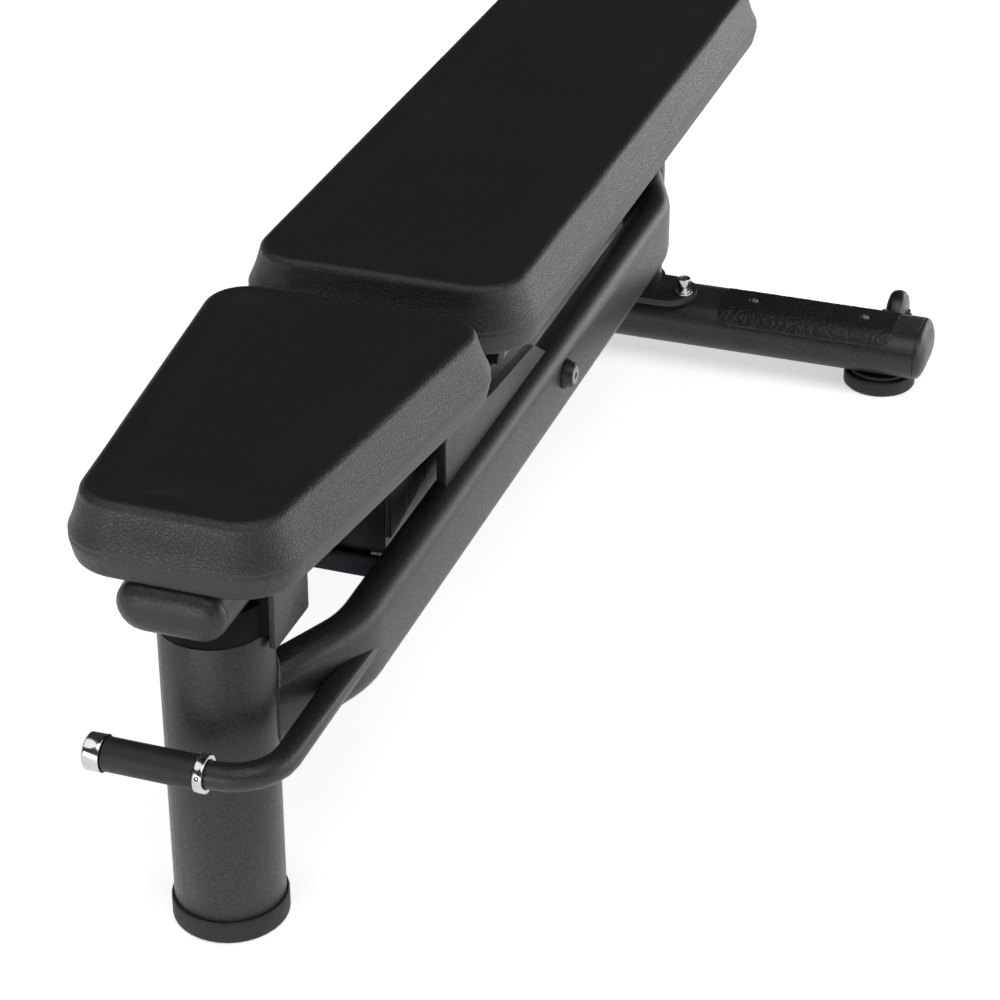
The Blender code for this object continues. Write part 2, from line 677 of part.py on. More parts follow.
def make_wheel_fork(side, name, paint, steel, body):
    """A channel welded behind the base tube, with an axle across it."""
    x = side * REAR_FOOT_X
    inner = WHEEL_WIDTH / 2 + 0.001
    outer = inner + FORK_WALL
    web = REAR_POST + BASE_WIDTH / 2 + GAP
    tip = WHEEL_Y + 0.012
    outline = [(x - outer, web), (x + outer, web), (x + outer, tip), (x + inner, tip)]
    outline += [(x + inner, web + FORK_WALL), (x - inner, web + FORK_WALL), (x - inner, tip), (x - outer, tip)]
    fork = place(f"wheel_fork_{name}", prism(outline, WHEEL_Z - 0.010, WHEEL_Z + 0.006, "Z"), paint, body)
    centre = (WHEEL_Y, WHEEL_Z)
    cut(fork, "axle_hole", round_bar(WHEEL_AXLE_RADIUS + GAP, x - 0.03, x + 0.03, "X", centre))
    end, head = outer + GAP, 0.0065
    profile = [(0, -end - 0.003), (head, -end - 0.003), (head, -end), (WHEEL_AXLE_RADIUS, -end)]
    profile += [(radius, -along) for radius, along in reversed(profile)]
    profile = [(radius, x + along) for radius, along in profile]
    place(f"wheel_axle_{name}", lathe(profile, "X", centre, SMALL_SEGMENTS), steel, body)


def make_wheel(side, name, plastic, bench):
    x = side * REAR_FOOT_X
    body = group(f"{name}_wheel_axis", (x, WHEEL_Y, WHEEL_Z), bench)
    half = WHEEL_WIDTH / 2
    bore = WHEEL_AXLE_RADIUS + RUNNING_GAP
    rounding = WHEEL_ROUNDING
    edge = half - rounding
    profile = [(bore, x - half)]
    profile += [(WHEEL_RADIUS - rounding + r, x - edge + t) for t, r in arc((0, 0), rounding, 180, 90, 3)]
    profile += [(WHEEL_RADIUS - rounding + r, x + edge + t) for t, r in arc((0, 0), rounding, 90, 0, 3)]
    profile += [(bore, x + half)]
    place(f"transport_wheel_{name}", lathe(profile, "X", (WHEEL_Y, WHEEL_Z), 24, closed=True), plastic, body)


# ---------------------------------------------------------------- handle


def handle_stations():
    """Centre line from the leg's end beside the beam, round the bend and across the post's front."""
    stations = [((HANDLE_X, HANDLE_LEG_END, HANDLE_Z), Vector((1, 0, 0)))]
    bend_x, bend_y = HANDLE_X - HANDLE_BEND_RADIUS, HANDLE_Y + HANDLE_BEND_RADIUS
    for step in range(ARC_STEPS + 2):
        angle = math.pi / 2 * step / (ARC_STEPS + 1)
        side = Vector((math.cos(angle), -math.sin(angle), 0))
        x = bend_x + HANDLE_BEND_RADIUS * math.cos(angle)
        y = bend_y - HANDLE_BEND_RADIUS * math.sin(angle)
        stations.append(((x, y, HANDLE_Z), side))
    stations.append(((HANDLE_TIP_X, HANDLE_Y, HANDLE_Z), Vector((0, -1, 0))))
    return stations


def make_handle(paint, grip_rubber, chrome, body):
    circle = arc((0, 0), HANDLE_RADIUS, 0, 340, 17)
    handle = place("handle_tube", loft(swept(circle, handle_stations())), paint, body)
    cut(handle, "beam_saddle", loft(beam_rings(GAP)))
    centre = (HANDLE_Y, HANDLE_Z)
    bore = HANDLE_RADIUS + GAP
    low, high = GRIP_ENDS
    grip = [(bore, low), (GRIP_RADIUS - 0.001, low), (GRIP_RADIUS, low + 0.001), (GRIP_RADIUS, high - 0.001)]
    grip += [(GRIP_RADIUS - 0.001, high), (bore, high)]
    place("handle_grip", lathe(grip, "X", centre, 24, closed=True), grip_rubber, body)
    low, high = high + GAP, high + GAP + COLLAR_WIDTH
    collar = [(bore, low), (COLLAR_RADIUS, low), (COLLAR_RADIUS, high), (bore, high)]
    place("handle_collar", lathe(collar, "X", centre, 24, closed=True), chrome, body)
    start = GRIP_ENDS[0] - GAP
    end = start - END_CAP_WIDTH
    inside = HANDLE_TIP_X - GAP
    cap = [(0, end), (COLLAR_RADIUS - 0.002, end), (COLLAR_RADIUS, end + 0.002), (COLLAR_RADIUS, start)]
    cap += [(bore, start), (bore, inside), (0, inside)]
    place("handle_end_cap", lathe(cap, "X", centre, 24), chrome, body)


# ---------------------------------------------------------------- seat and backrest


def pad_mesh(corners):
    """Cushion: tucked in at the base, widest at the seam, leaning in to the top and rounded over."""
    seam = PAD_BOTTOM + PAD_SEAM_HEIGHT
    shoulder = PAD_TOP - PAD_ROUNDING
    levels = [(PAD_TUCK, PAD_BOTTOM), (0.0, seam), (0.0, seam + 0.004), (PAD_LEAN, shoulder)]
    for step in range(1, 5):
        angle = math.radians(22.5 * step)
        inset = PAD_LEAN + PAD_ROUNDING * (1 - math.cos(angle))
        levels.append((inset, shoulder + PAD_ROUNDING * math.sin(angle)))
    rings = []
    for inset, z in levels:
        rings.append([(x, y, z) for x, y in rounded_polygon(corners, inset)])
    return loft(rings)


def make_seat(leather, board, paint, body):
    near, far = SEAT_FRONT_HALF_WIDTH, SEAT_REAR_HALF_WIDTH
    front_corner, rear_corner = SEAT_CORNERS
    corners = [(-near, SEAT_FRONT, front_corner), (near, SEAT_FRONT, front_corner)]
    corners += [(far, SEAT_REAR, rear_corner), (-far, SEAT_REAR, rear_corner)]
    pad = place("seat_pad", pad_mesh(corners), leather, body)
    low, high = SEAT_TUBE_TOP + GAP, SEAT_TUBE_TOP + GAP + BOARD_THICKNESS
    width, length, centre_y = 0.150, 0.340, 0.145
    plate = rounded_rectangle(width, length, 0.012, (0, centre_y), 3)
    room = rounded_rectangle(width + 2 * GAP, length + 2 * GAP, 0.012 + GAP, (0, centre_y), 3)
    cut(pad, "board_recess", prism(room, PAD_BOTTOM - 0.01, high + GAP, "Z"))
    place("seat_board", prism(plate, low, high, "Z"), board, body)
    centre = (0, (SEAT_TUBE_BOTTOM + SEAT_TUBE_TOP) / 2)
    tube = oval_tube(SEAT_TUBE_WIDTH, SEAT_TUBE_HEIGHT, centre, *SEAT_TUBE_ENDS, "Y")
    place("seat_tube", tube, paint, body)
    start = SEAT_TUBE_ENDS[0] - GAP
    cap = oval_cap(SEAT_TUBE_WIDTH, SEAT_TUBE_HEIGHT, centre, start, -SEAT_TUBE_CAP_DEPTH, "Y")
    place("seat_tube_cap", cap, paint, body)


def make_backrest(leather, board, paint, steel, body):
    half, corner = BACK_HALF_WIDTH, BACK_CORNER
    corners = [(-half, BACK_FRONT, corner), (half, BACK_FRONT, corner)]
    corners += [(half, BACK_REAR, corner), (-half, BACK_REAR, corner)]
    place("back_pad", pad_mesh(corners), leather, body)
    low = BACK_TUBE_TOP + GAP
    plate = rounded_rectangle(0.132, 0.820, 0.012, (0, 0.845), 3)
    place("back_board", prism(plate, low, low + BOARD_THICKNESS, "Z"), board, body)
    front, rear = BACK_TUBE_ENDS
    height = BACK_TUBE_TOP - BACK_TUBE_BOTTOM
    middle = (0, (BACK_TUBE_TOP + BACK_TUBE_BOTTOM) / 2)
    outer = rounded_rectangle(BACK_TUBE_WIDTH, height, 0.006, middle, 3)
    wall = 2 * TUBE_WALL
    inner = rounded_rectangle(BACK_TUBE_WIDTH - wall, height - wall, 0.003, middle, 3)
    skins = [[[(x, y, z) for x, z in skin] for y in (front, rear)] for skin in (outer, inner)]
    place("back_tube", hollow_loft(*skins), paint, body)
    make_back_hinge(paint, body)
    make_prop_clevis(paint, steel, body)


def make_back_hinge(paint, body):
    """Barrel on the axle, with a welded lug each side of the frame tube."""
    pivot = (PIVOT_Y, PIVOT_Z)
    half = HINGE_PLATE_X[0] - GAP
    barrel = place("back_hinge", round_bar(BARREL_RADIUS, -half, half, "X", pivot, 24), paint, body)
    top, bottom = BACK_TUBE_TOP, BACK_TUBE_BOTTOM + 0.004
    rear = BACK_TUBE_ENDS[0] + 0.070
    outline = arc(pivot, top - PIVOT_Z, 90, 270, 6) + [(BACK_TUBE_ENDS[0] + 0.010, bottom), (rear, bottom)]
    outline += [(rear, top)]
    inner_x = BACK_TUBE_WIDTH / 2 + GAP
    for side, name in ((1, "right"), (-1, "left")):
        ends = side * inner_x, side * (inner_x + EAR_THICKNESS)
        join(barrel, f"{name}_lug", prism(outline, *ends, "X"))
    cut(barrel, "bore", round_bar(AXLE_RADIUS + RUNNING_GAP, -0.1, 0.1, "X", pivot, 24))


def make_prop_clevis(paint, steel, body):
    """U under the frame tube, with the pin that the prop swings on."""
    pivot = (PROP_PIVOT_Y, PROP_PIVOT_Z)
    top = BACK_TUBE_BOTTOM - GAP
    outline = [(pivot[0] + 0.020, top), (pivot[0] - 0.020, top)] + arc(pivot, 0.011, 180, 360)
    inner = PROP_HALF_WIDTH + 0.0005
    outer = inner + 0.005
    clevis = place("prop_clevis", prism(outline, -outer, outer, "X"), paint, body)
    slot = rounded_rectangle(2 * inner, 0.100, 0.001, (0, top - 0.004 - 0.050), 1)
    cut(clevis, "slot", prism(slot, pivot[0] - 0.03, pivot[0] + 0.03, "Y"))
    cut(clevis, "pin_hole", round_bar(0.005 + GAP, -0.03, 0.03, "X", pivot))
    end, head = outer + GAP, 0.008
    profile = [(0, -end - 0.003), (head, -end - 0.003), (head, -end), (0.005, -end)]
    profile += [(radius, -along) for radius, along in reversed(profile)]
    place("prop_pivot_pin", lathe(profile, "X", pivot, SMALL_SEGMENTS), steel, body)


def make_prop(zinc, body):
    """Flat strut with round ends: a hole at the pivot and a cross pin at the rack end."""
    pivot = (PROP_PIVOT_Y, PROP_PIVOT_Z)
    drop = PROP_PIVOT_Z - PROP_PIN_Z
    rack_end = (PROP_PIVOT_Y + math.sqrt(PROP_LENGTH**2 - drop**2), PROP_PIN_Z)
    half = PROP_HALF_WIDTH
    prop = place("prop", prism(capsule(pivot, rack_end, PROP_RADIUS), -half, half, "X"), zinc, body)
    cut(prop, "pivot_hole", round_bar(0.005 + RUNNING_GAP, -0.03, 0.03, "X", pivot))
    join(prop, "rack_pin", round_bar(PROP_PIN_RADIUS, -0.040, 0.040, "X", rack_end, chamfer=0.001))


def build():
    clear_scene()
    paint = material("black_powder_coat", (0.030, 0.030, 0.032), 0.55, 0.2)
    rubber = material("black_rubber", (0.022, 0.022, 0.023), 0.75)
    slider = material("black_nylon", (0.012, 0.012, 0.012), 0.5)
    leather = material("black_leatherette", (0.028, 0.028, 0.029), 0.5)
    board = material("board", (0.050, 0.045, 0.040), 0.8)
    chrome = material("chrome", (0.80, 0.80, 0.82), 0.12, 1.0)
    zinc = material("zinc_steel", (0.55, 0.55, 0.57), 0.4, 1.0)
    dark_steel = material("dark_steel", (0.10, 0.11, 0.12), 0.3, 0.9)

    bench = group("bench", (0, 0, 0))
    make_posts(paint, rubber, bench)
    make_seat_guide(paint, slider, bench)
    make_beams(paint, bench)
    make_hinge_plates(paint, bench)
    make_backrest_axle(zinc, bench)
    make_rack(zinc, paint, dark_steel, bench)
    make_bosses(paint, zinc, bench)
    make_cross_base(paint, rubber, zinc, bench)
    make_flange(paint, chrome, bench)
    make_handle(paint, rubber, chrome, bench)
    for side, name in ((1, "right"), (-1, "left")):
        make_wheel_fork(side, name, paint, zinc, bench)
        make_wheel(side, name, rubber, bench)

    seat = group("seat_slide", (0, 0, SEAT_TUBE_BOTTOM), bench)
    make_seat(leather, board, paint, seat)
    backrest = group("backrest_hinge", (0, PIVOT_Y, PIVOT_Z), bench)
    make_backrest(leather, board, paint, zinc, backrest)
    prop = group("prop_hinge", (0, PROP_PIVOT_Y, PROP_PIVOT_Z), backrest)
    make_prop(zinc, prop)


build()
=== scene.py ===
"""Looks of the adjustable weight bench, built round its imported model.

Metres, +Z up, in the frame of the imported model: the seat end points to -Y, and +X is the side of the
handle's leg.
"""

import math

import bmesh
import bpy
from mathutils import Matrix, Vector, kdtree, noise

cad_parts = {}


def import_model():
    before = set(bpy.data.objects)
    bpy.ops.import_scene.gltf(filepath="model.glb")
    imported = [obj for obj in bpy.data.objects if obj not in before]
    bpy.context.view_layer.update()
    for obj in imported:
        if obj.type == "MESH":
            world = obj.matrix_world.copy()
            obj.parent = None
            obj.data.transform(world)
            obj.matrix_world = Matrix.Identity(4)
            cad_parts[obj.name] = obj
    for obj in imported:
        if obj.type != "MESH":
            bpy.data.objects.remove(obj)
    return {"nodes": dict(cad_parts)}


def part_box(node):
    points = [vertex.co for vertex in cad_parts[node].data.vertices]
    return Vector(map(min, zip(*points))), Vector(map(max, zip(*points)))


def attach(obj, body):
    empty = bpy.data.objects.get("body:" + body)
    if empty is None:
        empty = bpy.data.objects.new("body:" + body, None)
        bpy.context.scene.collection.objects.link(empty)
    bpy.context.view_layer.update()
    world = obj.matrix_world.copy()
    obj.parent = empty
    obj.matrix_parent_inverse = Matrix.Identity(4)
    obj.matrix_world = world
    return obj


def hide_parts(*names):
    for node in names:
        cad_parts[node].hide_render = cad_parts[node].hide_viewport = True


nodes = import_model()["nodes"]
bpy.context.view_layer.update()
scene = bpy.context.scene

CAMERA_PLACE = (0.9161, -2.5150, 1.6452)
CAMERA_AZIMUTH = math.radians(19.03)  # turned left from +Y
CAMERA_TILT = math.radians(30.04)  # looking down
CAMERA_LENS = 104.65
CAMERA_SENSOR = 36
CAMERA_REACH = 50

SUN_SPREAD = 50  # degrees: broad enough for soft shadows
SKY_STRENGTH = 0.05
FLOOR_HALF = 60.0
FLOOR_GLOW = 0.55  # the white floor lights the sides from below

EDGE_RADIUS = 0.0006
EDGE_ANGLE = math.radians(32)
SMOOTH_ANGLE = math.radians(40)

# The beams' ends, for the weld beads
POST_RADIUS = 0.0508
BEAM_SIZE = (0.040, 0.085)
BEAM_X = 0.076
BEAM_MIDDLE_Z = 0.219
BEAM_BEND_RADIUS = 0.126
BEAM_BEND_ANGLE = math.radians(23.4)
BEAM_STRAIGHT_START = 0.149  # from a post's axis, in plan
WELD_RADIUS = 0.0022
WELD_SINK = 0.0006  # how far the bead's middle stands off the post
WELD_SPACING = 0.0026
WELD_SIDES = 8

# Cushion section: how far each level is drawn in from the seam line
seat_low, seat_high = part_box("seat_pad")
PAD_THICKNESS = seat_high.z - seat_low.z
PAD_SEAM_HEIGHT = 0.024
PAD_SEAM_LEVELS = (0.005, 0.010, 0.015, 0.019, 0.0215, 0.023, 0.0238, 0.0243, 0.0252, 0.0268)
PAD_TUCK = 0.0045
PAD_TUCK_TOP = 0.020  # height where the tuck under the pad has run out
PAD_LEAN = 0.012
PAD_ROUNDING = 0.009
PAD_CORNER_STEPS = 24
PAD_SIDE_STEPS = 6
PAD_ROUNDING_STEPS = 8
PAD_TOP_RINGS = 14
PAD_SPACING = 0.0055
PAD_TOP_DROP = 0.0012  # room under the CAD pad's top for the swelling
SEAT_HALF_WIDTHS = (0.0988, 0.1517)
SEAT_CORNERS = (0.056, 0.053)
BACK_CORNER = 0.060

# The swelling by air pressure, and how much of it is kept
SWELL_START_SHRINK = 0.0022
SWELL_START_DROP = 0.0032
SWELL_FRAMES = 20
SWELL_PRESSURE = 4
SWELL_NEIGHBOURS = 6
SWELL_CAP = 0.005
SWELL_CROWN = 0.0030  # most that the top may rise in its middle
SWELL_SIDE_SHARE = 0.22
SWELL_EDGE_FADE = 0.055  # inside the top's edge, where the rise reaches its full share

# The cover's small unevenness
SEAM_DEPTH = 0.0007
SEAM_WIDTH = 0.0016
TUCK_DEPTH = 0.0006
TUCKS_PER_TURN = 34
COVER_RIPPLE = 0.0007

STEP_GRID = (170, 72)
STEP_RELIEF = 0.0008
STEP_SCREW_HOLE = 0.0064
STEP_SCREW_LIFT = 0.0004  # height of the sheet under a screw's head
STEP_LAST_ANGLE = math.radians(62)  # how far the sheet goes round the tube's front
STEP_CORNER = 0.032
STEP_UNDER = 0.0003  # gap between the tube and the sheet's rows
STEP_EDGE_DROP = 0.0008

SCREW_TILT = math.radians(18)  # the collar's set screw, up from the front
SCREW_PROFILE = ((0.0022, -0.0015), (0.0022, 0.0), (0.0019, 0.0003), (0.0011, 0.0003), (0.0011, -0.0008))
SCREW_SIDES = 12


# ---------------------------------------------------------------- camera, light and floor


def aim(item, direction):
    """Turns a camera or a light so that it looks along a direction."""
    item.rotation_mode = "QUATERNION"
    item.rotation_quaternion = Vector(direction).to_track_quat("-Z", "Y")


def make_camera():
    level = math.cos(CAMERA_TILT)
    direction = (-math.sin(CAMERA_AZIMUTH) * level, math.cos(CAMERA_AZIMUTH) * level, -math.sin(CAMERA_TILT))
    data = bpy.data.cameras.new("camera")
    data.lens = CAMERA_LENS
    data.sensor_width = CAMERA_SENSOR
    data.clip_end = CAMERA_REACH
    camera = bpy.data.objects.new("camera", data)
    scene.collection.objects.link(camera)
    camera.location = CAMERA_PLACE
    aim(camera, direction)
    scene.camera = camera


def area_light(name, location, target, size, power):
    data = bpy.data.lights.new(name, "AREA")
    data.shape = "RECTANGLE"
    data.size, data.size_y = size
    data.energy = power
    light = bpy.data.objects.new(name, data)
    scene.collection.objects.link(light)
    light.location = location
    aim(light, Vector(target) - Vector(location))


def sun_light(name, direction, strength):
    data = bpy.data.lights.new(name, "SUN")
    data.energy = strength
    data.angle = math.radians(SUN_SPREAD)
    light = bpy.data.objects.new(name, data)
    scene.collection.objects.link(light)
    aim(light, direction)


def make_lights():
    """Two broad lights from above and in front, soft side panels, and a dark sky."""
    scene.view_settings.view_transform = "Standard"
    sun_light("overhead_right", (-0.45, 0.35, -1), 1.3)
    sun_light("overhead_left", (0.55, 0.35, -1), 0.9)
    area_light("key_right", (2.9, 0.6, 0.8), (0, 0.1, 0.25), (2.4, 1.3), 38)
    area_light("fill_front", (-0.5, -3.1, 0.50), (0, 0, 0.20), (2.4, 0.8), 26)
    area_light("rim_back_right", (2.0, 3.1, 0.45), (0, 0.2, 0.3), (2.6, 1.0), 32)
    world = bpy.data.worlds.new("studio")
    world.use_nodes = True
    background = world.node_tree.nodes["Background"]
    background.inputs["Color"].default_value = (1, 1, 1, 1)
    background.inputs["Strength"].default_value = SKY_STRENGTH
    scene.world = world


def make_floor():
    mesh = bpy.data.meshes.new("floor")
    half = FLOOR_HALF
    corners = [(-half, -half, 0), (half, -half, 0), (half, half, 0), (-half, half, 0)]
    mesh.from_pydata(corners, [], [(0, 1, 2, 3)])
    floor = bpy.data.objects.new("floor", mesh)
    scene.collection.objects.link(floor)
    finish = Finish("studio_floor", (0.90, 0.90, 0.90), 0.9)
    finish.mottle(3.0, 0.03)
    finish.shader.inputs["Emission Color"].default_value = (1, 1, 1, 1)
    finish.shader.inputs["Emission Strength"].default_value = FLOOR_GLOW
    mesh.materials.append(finish.material)


# ---------------------------------------------------------------- materials


class Finish:
    """A Principled material whose colour, roughness and surface relief come from procedural nodes."""

    def __init__(self, name, colour, roughness, metallic=0.0, **sockets):
        self.material = bpy.data.materials.new(name)
        self.material.use_nodes = True
        self.tree = self.material.node_tree
        self.shader = self.tree.nodes["Principled BSDF"]
        self.shader.inputs["Metallic"].default_value = metallic
        self.shader.inputs["Roughness"].default_value = roughness
        for socket, value in sockets.items():
            self.shader.inputs[socket.replace("_", " ")].default_value = value
        self.colour = colour
        self.place = self.node("ShaderNodeTexCoord").outputs["Object"]
        self.relief = None
        self.tint = None

    def node(self, kind, **settings):
        made = self.tree.nodes.new(kind)
        for key, value in settings.items():
            setattr(made, key, value)
        return made

    def link(self, source, target):
        self.tree.links.new(source, target)

    def noise(self, scale, detail=3.0, roughness=0.55, place=None):
        made = self.node("ShaderNodeTexNoise")
        made.inputs["Scale"].default_value = scale
        made.inputs["Detail"].default_value = detail
        made.inputs["Roughness"].default_value = roughness
        self.link(place or self.place, made.inputs["Vector"])
        return made.outputs["Fac"]

    def ramp(self, value, stops):
        made = self.node("ShaderNodeValToRGB")
        ramp = made.color_ramp
        ramp.elements[0].position, ramp.elements[0].color = stops[0][0], (*stops[0][1], 1)
        ramp.elements[1].position, ramp.elements[1].color = stops[-1][0], (*stops[-1][1], 1)
        for position, colour in stops[1:-1]:
            ramp.elements.new(position).color = (*colour, 1)
        self.link(value, made.inputs["Fac"])
        return made.outputs["Color"]

    def levels(self, value, low, high, out_low, out_high):
        made = self.node("ShaderNodeMapRange")
        names = ("From Min", "From Max", "To Min", "To Max")
        for name, number in zip(names, (low, high, out_low, out_high)):
            made.inputs[name].default_value = number
        self.link(value, made.inputs["Value"])
        return made.outputs["Result"]

    def multiply(self, colour, factor):
        """A colour times a grey factor."""
        made = self.node("ShaderNodeMix", data_type="RGBA", blend_type="MULTIPLY")
        made.inputs["Factor"].default_value = 1.0
        self.link(colour, made.inputs["A"])
        self.link(factor, made.inputs["B"])
        return made.outputs["Result"]

    def shade(self, factor):
        """Darkens or lightens the colour so far."""
        if self.tint is None:
            self.tint = self.ramp(self.noise(1.0), [(0, self.colour), (1, self.colour)])
        self.tint = self.multiply(self.tint, factor)
        self.link(self.tint, self.shader.inputs["Base Color"])

    def speckle(self, scale, spread):
        """Fine light and dark grains."""
        low = tuple(c * (1 - spread) for c in self.colour)
        high = tuple(c * (1 + spread) for c in self.colour)
        self.tint = self.ramp(self.noise(scale, 2.0, 0.7), [(0.35, low), (0.65, high)])
        self.link(self.tint, self.shader.inputs["Base Color"])

    def mottle(self, scale, amount):
        """Soft, wide changes of tone."""
        self.shade(self.levels(self.noise(scale, 4.0), 0.3, 0.7, 1 - amount, 1 + amount))

    def gloss(self, scale, low, high):
        """Roughness that changes from place to place."""
        value = self.levels(self.noise(scale, 4.0, 0.6), 0.3, 0.7, low, high)
        self.link(value, self.shader.inputs["Roughness"])

    def bump(self, height, strength, distance):
        made = self.node("ShaderNodeBump")
        made.inputs["Strength"].default_value = strength
        made.inputs["Distance"].default_value = distance
        self.link(height, made.inputs["Height"])
        if self.relief is not None:
            self.link(self.relief, made.inputs["Normal"])
        self.relief = made.outputs["Normal"]
        self.link(self.relief, self.shader.inputs["Normal"])

    def worn_edges(self, amount):
        """Slightly lighter outer edges."""
        point = self.node("ShaderNodeNewGeometry").outputs["Pointiness"]
        self.shade(self.levels(point, 0.50, 0.56, 1.0, 1.0 + amount))


def powder_coat(name, colour=(0.013, 0.013, 0.0135), roughness=0.37):
    """Fine-textured black powder coat: a speckled, lightly orange-peeled skin."""
    made = Finish(name, colour, roughness, Specular_IOR_Level=0.34)
    made.speckle(520, 0.60)
    made.mottle(14, 0.10)
    made.worn_edges(0.25)
    made.gloss(420, roughness - 0.10, roughness + 0.14)
    made.bump(made.noise(900, 2.0, 0.6), 0.45, 0.00035)
    made.bump(made.noise(300, 2.0, 0.5), 0.25, 0.00050)
    return made.material


def leatherette(name, colour=(0.0085, 0.0085, 0.009)):
    """Black pebble-grained vinyl: uneven cells parted by fine creases."""
    made = Finish(name, colour, 0.45, Specular_IOR_Level=0.5)
    warp = made.node("ShaderNodeTexNoise")
    warp.inputs["Scale"].default_value = 210
    warp.inputs["Detail"].default_value = 2.0
    made.link(made.place, warp.inputs["Vector"])
    shift = made.node("ShaderNodeVectorMath", operation="MULTIPLY_ADD")
    made.link(warp.outputs["Color"], shift.inputs[0])
    shift.inputs[1].default_value = (0.0045, 0.0045, 0.0045)
    made.link(made.place, shift.inputs[2])
    cells = made.node("ShaderNodeTexVoronoi", feature="DISTANCE_TO_EDGE")
    cells.inputs["Scale"].default_value = 300
    made.link(shift.outputs["Vector"], cells.inputs["Vector"])
    crease = made.levels(cells.outputs["Distance"], 0.0, 0.20, 0.0, 1.0)
    # painted shade and highlight: the colour drops to half in the grain's creases and rises a little on the
    # pebbles, where the grain's shade and light would fall
    low = tuple(c * 0.50 for c in colour)
    high = tuple(c * 1.15 for c in colour)
    made.tint = made.ramp(crease, [(0.0, low), (0.55, colour), (1.0, high)])
    made.link(made.tint, made.shader.inputs["Base Color"])
    made.mottle(9, 0.12)
    made.link(made.levels(crease, 0.0, 1.0, 0.54, 0.43), made.shader.inputs["Roughness"])
    made.bump(crease, 0.50, 0.00042)
    made.bump(made.noise(1100, 2.0, 0.6), 0.30, 0.00016)
    made.bump(made.noise(22, 3.0, 0.5), 0.20, 0.0012)
    return made.material


def rubber(name, colour, roughness, grain):
    """Black rubber with a fine grain and slightly worn edges."""
    made = Finish(name, colour, roughness, Specular_IOR_Level=0.35)
    made.speckle(grain, 0.30)
    made.mottle(35, 0.14)
    made.worn_edges(0.4)
    made.gloss(80, roughness - 0.08, roughness + 0.10)
    made.bump(made.noise(grain, 3.0, 0.6), 0.30, 0.00035)
    return made.material


def moulded(name, colour, roughness, specular=0.5):
    """Spark-eroded moulded plastic."""
    made = Finish(name, colour, roughness, Specular_IOR_Level=specular)
    made.speckle(1500, 0.22)
    made.mottle(20, 0.08)
    made.gloss(45, roughness - 0.05, roughness + 0.08)
    made.bump(made.noise(1500, 2.0, 0.5), 0.22, 0.00018)
    return made.material


def plated(name, colour, low, high, brush=None, metallic=1.0):
    """Bright plated metal with faint smudges, brushed along one axis where asked."""
    made = Finish(name, colour, (low + high) / 2, metallic)
    made.speckle(40, 0.06)
    made.mottle(150, 0.05)
    made.gloss(55, low, high)
    if brush:
        scaled = made.node("ShaderNodeMapping")
        scaled.inputs["Scale"].default_value = brush
        made.link(made.place, scaled.inputs["Vector"])
        made.bump(made.noise(1.0, 3.0, 0.6, scaled.outputs["Vector"]), 0.18, 0.00012)
    else:
        made.bump(made.noise(500, 2.0, 0.5), 0.05, 0.00010)
    return made.material


def striped_steel(name, colour):
    """Near-black sheet steel with upright streaks left by rolling; its very dark tone is partly painted
    shade.
    """
    made = Finish(name, colour, 0.38, 0.4, Specular_IOR_Level=0.25)
    streaks = made.node("ShaderNodeMapping")
    streaks.inputs["Scale"].default_value = (230, 230, 6)
    made.link(made.place, streaks.inputs["Vector"])
    bands = made.noise(1.0, 3.0, 0.6, streaks.outputs["Vector"])
    tones = [(0.35, tuple(c * 0.4 for c in colour)), (0.62, tuple(c * 2.4 for c in colour))]
    made.tint = made.ramp(bands, tones)
    made.link(made.tint, made.shader.inputs["Base Color"])
    made.mottle(30, 0.10)
    made.link(made.levels(bands, 0.3, 0.7, 0.50, 0.34), made.shader.inputs["Roughness"])
    made.bump(made.noise(800, 2.0, 0.6), 0.15, 0.00015)
    return made.material


def particle_board(name):
    """Dark brown board of pressed flakes, for the boards under the pads."""
    made = Finish(name, (0.040, 0.034, 0.028), 0.85, Specular_IOR_Level=0.2)
    flakes = made.node("ShaderNodeTexVoronoi")
    flakes.inputs["Scale"].default_value = 260
    made.link(made.place, flakes.inputs["Vector"])
    dark, middle, light = (0.022, 0.019, 0.016), (0.045, 0.038, 0.030), (0.070, 0.058, 0.045)
    tones = [(0.0, dark), (0.5, middle), (1.0, light)]
    made.tint = made.ramp(flakes.outputs["Distance"], tones)
    made.link(made.tint, made.shader.inputs["Base Color"])
    made.mottle(18, 0.15)
    made.bump(flakes.outputs["Distance"], 0.4, 0.0004)
    return made.material


